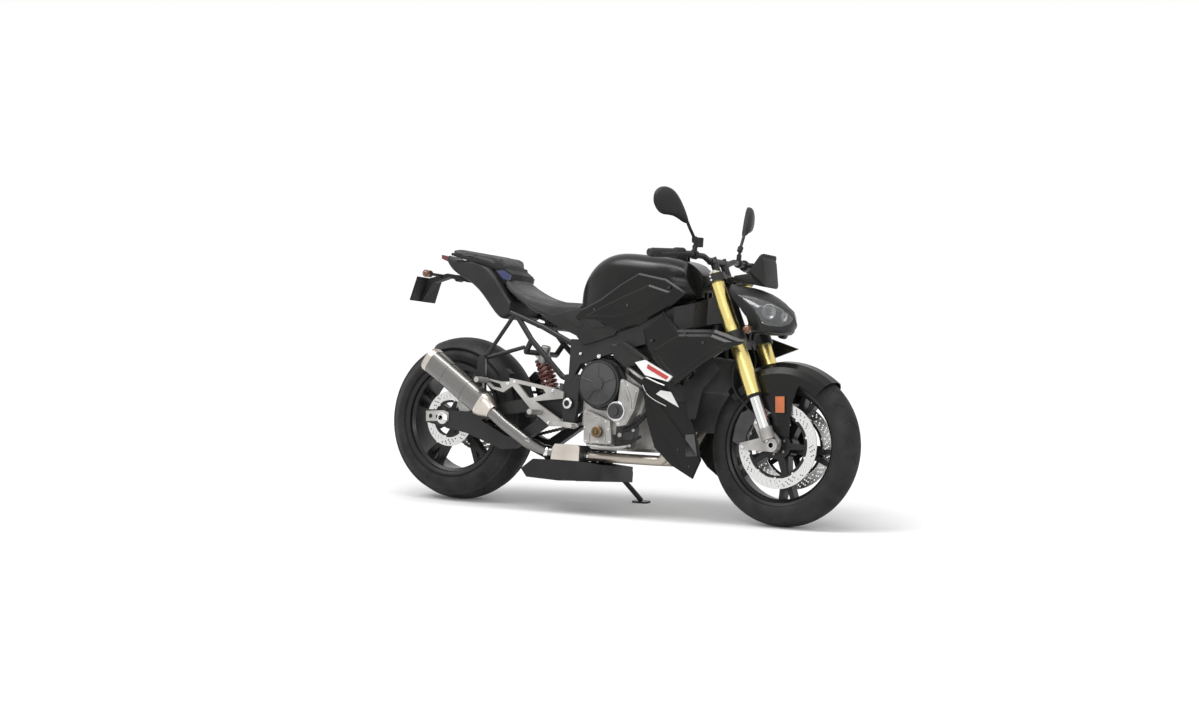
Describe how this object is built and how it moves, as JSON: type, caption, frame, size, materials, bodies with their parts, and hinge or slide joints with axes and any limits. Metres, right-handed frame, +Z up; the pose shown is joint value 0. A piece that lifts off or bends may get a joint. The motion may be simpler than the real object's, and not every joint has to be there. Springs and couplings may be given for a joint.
{
  "type": "naked sport motorcycle",
  "caption": "Unfaired sport motorcycle leaning on its side stand, with turning fork and wheels, folding stand and hinged filler cap.",
  "frame": {"origin": "middle of the bounding box on the floor, below the leaning motorcycle", "axes": "+X forward along the wheel line, +Z up, +Y to the motorcycle's left, towards which it leans"},
  "size_m": [2.0688, 0.829, 1.2589],
  "materials": {
    "black_gloss": "gloss",
    "black_plastic": "gloss",
    "black_matte": "textured",
    "frame_black": "satin",
    "steel_black": "satin",
    "cast_silver": "cast",
    "engine_dark": "cast",
    "gold_tube": "anodised",
    "chrome": "polished",
    "brushed_steel": "brushed",
    "disc_steel": "brushed",
    "rim_black": "gloss",
    "tyre": "matt",
    "rubber": "matt",
    "seat_cover": "grained",
    "lamp_glass": "smoked",
    "tail_red": "gloss",
    "chain_steel": "oiled",
    "core_black": "matt"
  },
  "bodies": {
    "root": {"main_frame": "frame_black", "subframe": "steel_black", "crankcase": "cast_silver", "cylinder_head": "engine_dark", "engine_covers": "engine_dark", "radiator": "core_black", "exhaust_headers": "brushed_steel", "collector_box": "brushed_steel", "silencer": "brushed_steel", "fuel_tank": "black_plastic", "side_trims": "black_matte", "side_shrouds": "black_plastic", "belly_spoiler": "black_plastic", "rider_seat": "seat_cover", "pillion_seat": "seat_cover", "tail_cowl": "black_matte", "tail_light": "tail_red", "plate_bracket": "black_matte", "swingarm": "frame_black", "shock_absorber": "cast_silver", "rear_hugger": "black_matte", "rear_caliper": "cast_silver", "drive_chain": "chain_steel", "footrest_brackets": "cast_silver", "foot_pegs": "cast_silver", "foot_controls": "cast_silver", "air_ducts": "black_matte", "belly_cover": "black_matte", "rear_axle_shaft": "chrome"},
    "steering": {"fork_yokes": "frame_black", "fork_tubes": "gold_tube", "fork_legs": "cast_silver", "handlebar": "frame_black", "hand_grips": "rubber", "hand_controls": "black_matte", "mirrors": "black_matte", "headlamp_shell": "black_matte", "headlamp_lens": "lamp_glass", "instrument_display": "black_matte", "front_mudguard": "black_plastic", "front_calipers": "engine_dark", "front_indicators": "black_matte", "brake_hoses": "rubber", "front_axle_shaft": "chrome"},
    "front_wheel": {"front_rim": "rim_black", "front_tyre": "tyre", "front_discs": "disc_steel"},
    "rear_wheel": {"rear_rim": "rim_black", "rear_tyre": "tyre", "rear_disc": "disc_steel", "rear_sprocket": "chain_steel"},
    "side_stand": {"side_stand": "steel_black"},
    "fuel_cap": {"fuel_cap": "black_matte"}
  },
  "joints": [
    {"name": "steering_turn", "type": "hinge", "parent": "root", "child": "steering", "pos_m": [0.47801, -0.02835, 0.76594], "axis": [-0.4147, 0.1266, 0.9011], "range_deg": [-31, 31]},
    {"name": "front_wheel_spin", "type": "hinge", "parent": "steering", "child": "front_wheel", "pos_m": [0.7345, -0.09416, 0.29767], "axis": [0, 0.9903, -0.1392], "continuous": true},
    {"name": "rear_wheel_spin", "type": "hinge", "parent": "root", "child": "rear_wheel", "pos_m": [-0.7155, -0.09146, 0.31691], "axis": [0, 0.9903, -0.1392], "continuous": true},
    {"name": "side_stand_fold", "type": "hinge", "parent": "root", "child": "side_stand", "pos_m": [-0.1155, 0.03502, 0.16783], "axis": [0.248, 0.764, 0.5956], "range_deg": [0, 109]},
    {"name": "fuel_cap_lift", "type": "hinge", "parent": "root", "child": "fuel_cap", "pos_m": [0.2625, 0.00484, 1.00215], "axis": [0, 0.9903, -0.1392], "range_deg": [0, 90]}
  ]
}
